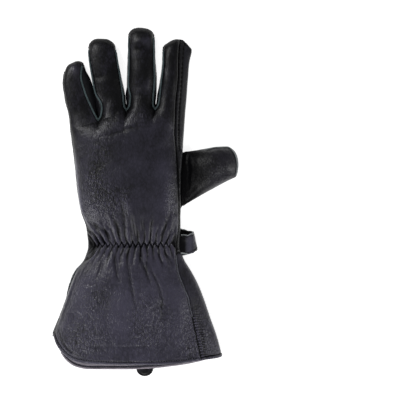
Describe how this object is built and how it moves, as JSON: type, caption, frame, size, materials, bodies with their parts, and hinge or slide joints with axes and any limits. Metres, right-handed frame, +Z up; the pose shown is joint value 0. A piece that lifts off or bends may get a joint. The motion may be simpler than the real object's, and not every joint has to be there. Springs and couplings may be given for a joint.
{
  "type": "motorcycle gauntlet glove",
  "caption": "Left-hand motorcycle gauntlet glove in black leather, with an elastic wrist, a flared cuff and a snap strap across the palm.",
  "frame": {"origin": "centre of the bounding box's underside, on the surface that the glove lies on", "axes": "+Y towards the fingertips, +X towards the thumb, +Z up from the palm to the back of the hand"},
  "size_m": [0.1866, 0.3498, 0.0351],
  "materials": {
    "back_leather": "supple grained leather, satin sheen",
    "palm_leather": "supple grained leather, duller than the back",
    "side_leather": "supple grained leather with raw seam edges",
    "strap_leather": "smooth doubled leather, stitched",
    "lining": "matt woven facing",
    "snap_metal": "polished nickel",
    "snap_enamel": "dark enamelled cap"
  },
  "bodies": {
    "root": {"back_panel": "back_leather", "palm_panel": "palm_leather", "ring_front": "palm_leather", "middle_front": "palm_leather", "fourchette_little_ring": "side_leather", "fourchette_ring_middle": "side_leather", "fourchette_middle_index": "side_leather", "index_side_strip": "side_leather", "thumb": "palm_leather", "thumb_gusset": "palm_leather", "cuff_gusset": "side_leather", "hem_facing": "lining", "strap_band": "strap_leather", "strap_flap": "strap_leather", "snap_stud": "snap_metal", "snap_cap": "snap_enamel", "pull_tab": "strap_leather"}
  },
  "joints": []
}
